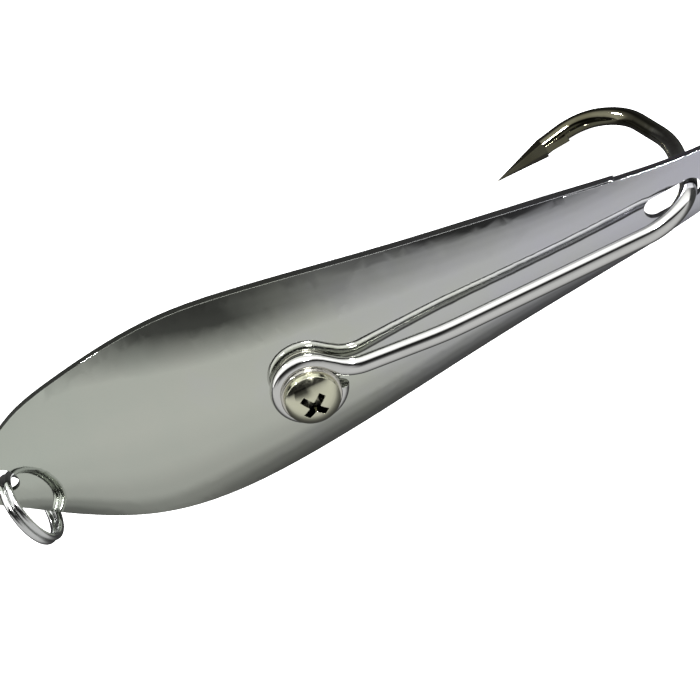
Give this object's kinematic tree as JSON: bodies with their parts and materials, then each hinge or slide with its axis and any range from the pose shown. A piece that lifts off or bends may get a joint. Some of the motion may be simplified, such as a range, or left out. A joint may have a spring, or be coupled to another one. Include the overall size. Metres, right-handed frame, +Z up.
{
  "type": "spoon lure",
  "caption": "Slotted trolling spoon: curved mirror-bright blade, one large hook clamped by a screw on the crown and passed down through a slot near the tail, split ring at the nose.",
  "frame": {"origin": "centre of the nose hole on the blade's convex face", "axes": "+X from the nose to the tail, parallel to the crown at the screw; +Z up out of the convex side that carries the screw; +Y across the blade"},
  "size_m": [0.1445, 0.0386, 0.0439],
  "materials": {
    "polished_stainless": "mirror-polished stainless sheet with fine buffing marks",
    "hook_steel": "bright tinned steel wire, polished",
    "washer_steel": "plain steel washer, tumbled",
    "screw_nickel": "nickel-plated steel, slightly yellow",
    "lock_steel": "spring steel, oiled",
    "ring_steel": "polished stainless spring wire"
  },
  "bodies": {
    "lure": {"blade": "polished_stainless", "hook": "hook_steel", "seat_washer": "washer_steel", "head_washer": "washer_steel", "clamp_screw": "screw_nickel", "lock_washer": "lock_steel", "hex_nut": "screw_nickel"},
    "ring": {"split_ring": "ring_steel"}
  },
  "joints": [
    {"name": "ring_swivel", "type": "hinge", "parent": "lure", "child": "ring", "pos_m": [0.00022, 0, -0.00056], "axis": [-0.3595, 0, 0.9331], "range_deg": [-204, 0]}
  ]
}
